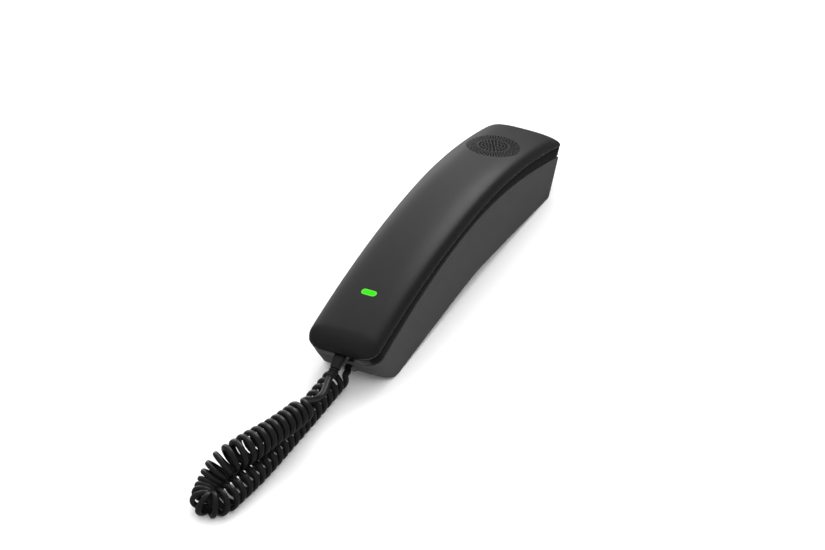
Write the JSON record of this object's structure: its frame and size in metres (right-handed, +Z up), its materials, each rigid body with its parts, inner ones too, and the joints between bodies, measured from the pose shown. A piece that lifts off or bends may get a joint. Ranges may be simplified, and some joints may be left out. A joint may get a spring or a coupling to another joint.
{
  "type": "desk ip phone",
  "caption": "Slim arched corded phone: a handset with its keypad inside lies face down in an arched base, joined to it by a coiled cord.",
  "frame": {"origin": "on the surface it stands on, under the middle of the phone without its cord", "axes": "+Z up; +Y along the phone to the earpiece end, away from the cord; +X across it, to the right seen from the cord end"},
  "size_m": [0.0457, 0.3735, 0.0529],
  "materials": {
    "dark_grey_plastic": "satin, fine texture",
    "matt_black_plastic": "satin, very fine texture",
    "gloss_black_plastic": "gloss",
    "black_plastic": "moulded",
    "key_plastic": "satin, light characters",
    "black_rubber": "matt",
    "cord_jacket": "satin",
    "circuit_board": "solder mask",
    "steel": "plated",
    "nickel": "nickel plated",
    "aluminium_can": "plain",
    "clear_plug": "clear moulding",
    "green_lens": "lit, diffusing"
  },
  "bodies": {
    "base": {"base_housing": "dark_grey_plastic", "base_bottom_cover": "black_plastic", "foot_1": "black_rubber", "foot_2": "black_rubber", "foot_3": "black_rubber", "foot_4": "black_rubber", "main_board": "circuit_board", "network_jack": "black_plastic", "computer_jack": "black_plastic", "cord_jack": "black_plastic", "hook_spring": "nickel", "hook_switch": "black_plastic", "ballast_plate": "steel", "base_screw_1": "nickel", "base_screw_2": "nickel", "base_screw_3": "nickel", "base_screw_4": "nickel", "cord_plug": "clear_plug", "cord_base_lead": "cord_jacket", "cord_coil": "cord_jacket"},
    "hook_plunger": {"hook_plunger": "black_plastic"},
    "handset": {"handset_back_cover": "matt_black_plastic", "handset_front_cover": "gloss_black_plastic", "handset_screw_1": "nickel", "handset_screw_2": "nickel", "handset_board": "circuit_board", "keypad_membrane": "black_rubber", "counterweight": "steel", "ringer_speaker": "steel", "ringer_gasket": "black_rubber", "earpiece_receiver": "steel", "earpiece_gasket": "black_rubber", "microphone": "aluminium_can", "microphone_boot": "black_rubber", "status_lens": "green_lens", "status_led": "green_lens", "cord_strain_relief": "cord_jacket", "cord_handset_lead": "cord_jacket"},
    "key_1": {"key_1": "key_plastic"},
    "key_2": {"key_2": "key_plastic"},
    "key_3": {"key_3": "key_plastic"},
    "key_4": {"key_4": "key_plastic"},
    "key_5": {"key_5": "key_plastic"},
    "key_6": {"key_6": "key_plastic"},
    "key_7": {"key_7": "key_plastic"},
    "key_8": {"key_8": "key_plastic"},
    "key_9": {"key_9": "key_plastic"},
    "key_star": {"key_star": "key_plastic"},
    "key_0": {"key_0": "key_plastic"},
    "key_hash": {"key_hash": "key_plastic"},
    "key_volume_down": {"key_volume_down": "key_plastic"},
    "key_mute": {"key_mute": "key_plastic"},
    "key_volume_up": {"key_volume_up": "key_plastic"}
  },
  "joints": [
    {"name": "handset_lift", "type": "slide", "parent": "base", "child": "handset", "axis": [0, 0, 1], "range_m": [0, 0.06]},
    {"name": "hook_travel", "type": "slide", "parent": "base", "child": "hook_plunger", "axis": [0, 0, 1], "range_m": [0, 0.003], "deforming": ["hook_spring"]},
    {"name": "key_1_press", "type": "slide", "parent": "handset", "child": "key_1", "axis": [0, 0.0214, 0.9998], "range_m": [0, 0.001], "stiffness_N_per_m": 400, "springref_m": -0.0006},
    {"name": "key_2_press", "type": "slide", "parent": "handset", "child": "key_2", "axis": [0, 0.0214, 0.9998], "range_m": [0, 0.001], "stiffness_N_per_m": 400, "springref_m": -0.0006},
    {"name": "key_3_press", "type": "slide", "parent": "handset", "child": "key_3", "axis": [0, 0.0214, 0.9998], "range_m": [0, 0.001], "stiffness_N_per_m": 400, "springref_m": -0.0006},
    {"name": "key_4_press", "type": "slide", "parent": "handset", "child": "key_4", "axis": [0, -0.009, 1], "range_m": [0, 0.001], "stiffness_N_per_m": 400, "springref_m": -0.0006},
    {"name": "key_5_press", "type": "slide", "parent": "handset", "child": "key_5", "axis": [0, -0.009, 1], "range_m": [0, 0.001], "stiffness_N_per_m": 400, "springref_m": -0.0006},
    {"name": "key_6_press", "type": "slide", "parent": "handset", "child": "key_6", "axis": [0, -0.009, 1], "range_m": [0, 0.001], "stiffness_N_per_m": 400, "springref_m": -0.0006},
    {"name": "key_7_press", "type": "slide", "parent": "handset", "child": "key_7", "axis": [0, -0.0309, 0.9995], "range_m": [0, 0.001], "stiffness_N_per_m": 400, "springref_m": -0.0006},
    {"name": "key_8_press", "type": "slide", "parent": "handset", "child": "key_8", "axis": [0, -0.0309, 0.9995], "range_m": [0, 0.001], "stiffness_N_per_m": 400, "springref_m": -0.0006},
    {"name": "key_9_press", "type": "slide", "parent": "handset", "child": "key_9", "axis": [0, -0.0309, 0.9995], "range_m": [0, 0.001], "stiffness_N_per_m": 400, "springref_m": -0.0006},
    {"name": "key_star_press", "type": "slide", "parent": "handset", "child": "key_star", "axis": [0, -0.0528, 0.9986], "range_m": [0, 0.001], "stiffness_N_per_m": 400, "springref_m": -0.0006},
    {"name": "key_0_press", "type": "slide", "parent": "handset", "child": "key_0", "axis": [0, -0.0528, 0.9986], "range_m": [0, 0.001], "stiffness_N_per_m": 400, "springref_m": -0.0006},
    {"name": "key_hash_press", "type": "slide", "parent": "handset", "child": "key_hash", "axis": [0, -0.0528, 0.9986], "range_m": [0, 0.001], "stiffness_N_per_m": 400, "springref_m": -0.0006},
    {"name": "key_volume_down_press", "type": "slide", "parent": "handset", "child": "key_volume_down", "axis": [0, -0.0744, 0.9972], "range_m": [0, 0.001], "stiffness_N_per_m": 400, "springref_m": -0.0006},
    {"name": "key_mute_press", "type": "slide", "parent": "handset", "child": "key_mute", "axis": [0, -0.0744, 0.9972], "range_m": [0, 0.001], "stiffness_N_per_m": 400, "springref_m": -0.0006},
    {"name": "key_volume_up_press", "type": "slide", "parent": "handset", "child": "key_volume_up", "axis": [0, -0.0744, 0.9972], "range_m": [0, 0.001], "stiffness_N_per_m": 400, "springref_m": -0.0006}
  ],
  "couplings": [
    {"joint": "hook_travel", "follows": "handset_lift", "ratio": 0.05}
  ]
}
